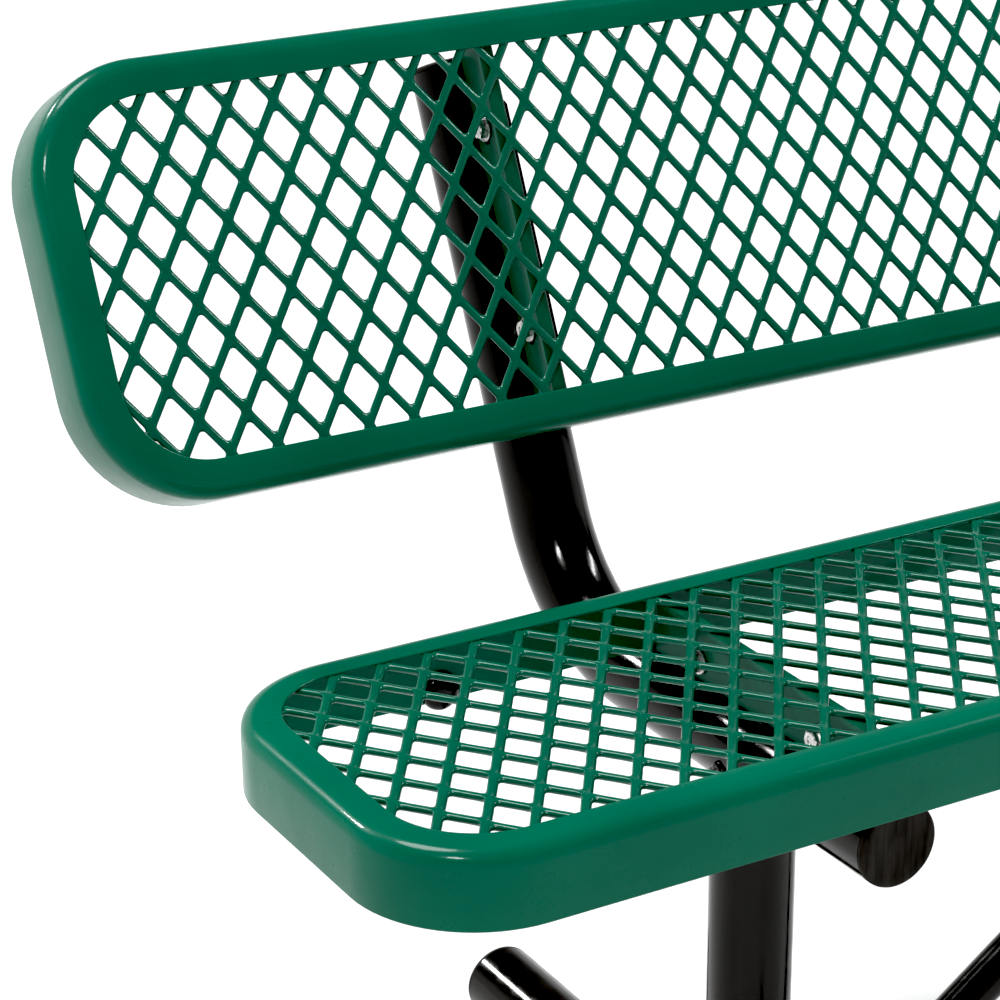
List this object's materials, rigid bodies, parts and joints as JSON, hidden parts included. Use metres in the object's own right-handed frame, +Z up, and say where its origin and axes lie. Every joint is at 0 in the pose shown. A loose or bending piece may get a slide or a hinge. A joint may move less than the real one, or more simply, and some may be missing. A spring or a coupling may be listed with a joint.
{
  "type": "park bench with backrest",
  "caption": "Backed park bench: rimmed expanded-metal seat and reclined back bolted to bent-tube legs with foot tubes, posts and diagonal braces.",
  "frame": {"origin": "on the ground, under the centre of the bounding box", "axes": "+X along the bench, +Y from the front of the seat to the back, +Z up"},
  "size_m": [1.838, 0.747, 0.8333],
  "materials": {
    "green_coating": "thick glossy dark green thermoplastic coating on steel",
    "black_paint": "gloss black powder coat on steel tube",
    "black_plastic": "matte black moulded plastic",
    "zinc_plate": "bright zinc-plated fasteners"
  },
  "bodies": {
    "root": {"apron_plug_left": "black_plastic", "apron_plug_right": "black_plastic", "back_bolt_left_1": "zinc_plate", "back_bolt_left_2": "zinc_plate", "back_bolt_right_1": "zinc_plate", "back_bolt_right_2": "zinc_plate", "back_bracket_left": "green_coating", "back_bracket_right": "green_coating", "back_grille": "green_coating", "back_rim": "green_coating", "back_tab_left": "black_paint", "back_tab_right": "black_paint", "back_tube_cap_left": "black_plastic", "back_tube_cap_right": "black_plastic", "brace_foot_bolt_left": "zinc_plate", "brace_foot_bolt_right": "zinc_plate", "brace_head_bolt_left": "zinc_plate", "brace_head_bolt_right": "zinc_plate", "brace_head_plate": "black_paint", "brace_left": "black_paint", "brace_right": "black_paint", "brace_tab_left": "black_paint", "brace_tab_right": "black_paint", "foot_front_cap_left": "black_plastic", "foot_front_cap_right": "black_plastic", "foot_rear_cap_left": "black_plastic", "foot_rear_cap_right": "black_plastic", "foot_tube_left": "black_paint", "foot_tube_right": "black_paint", "post_left": "black_paint", "post_right": "black_paint", "seat_bolt_left_1": "zinc_plate", "seat_bolt_left_2": "zinc_plate", "seat_bolt_right_1": "zinc_plate", "seat_bolt_right_2": "zinc_plate", "seat_bracket_left": "green_coating", "seat_bracket_middle": "green_coating", "seat_bracket_right": "green_coating", "seat_grille": "green_coating", "seat_rim": "green_coating", "seat_tab_left": "black_paint", "seat_tab_right": "black_paint", "seat_tube_cap_left": "black_plastic", "seat_tube_cap_right": "black_plastic", "support_tube_left": "black_paint", "support_tube_right": "black_paint"}
  },
  "joints": []
}
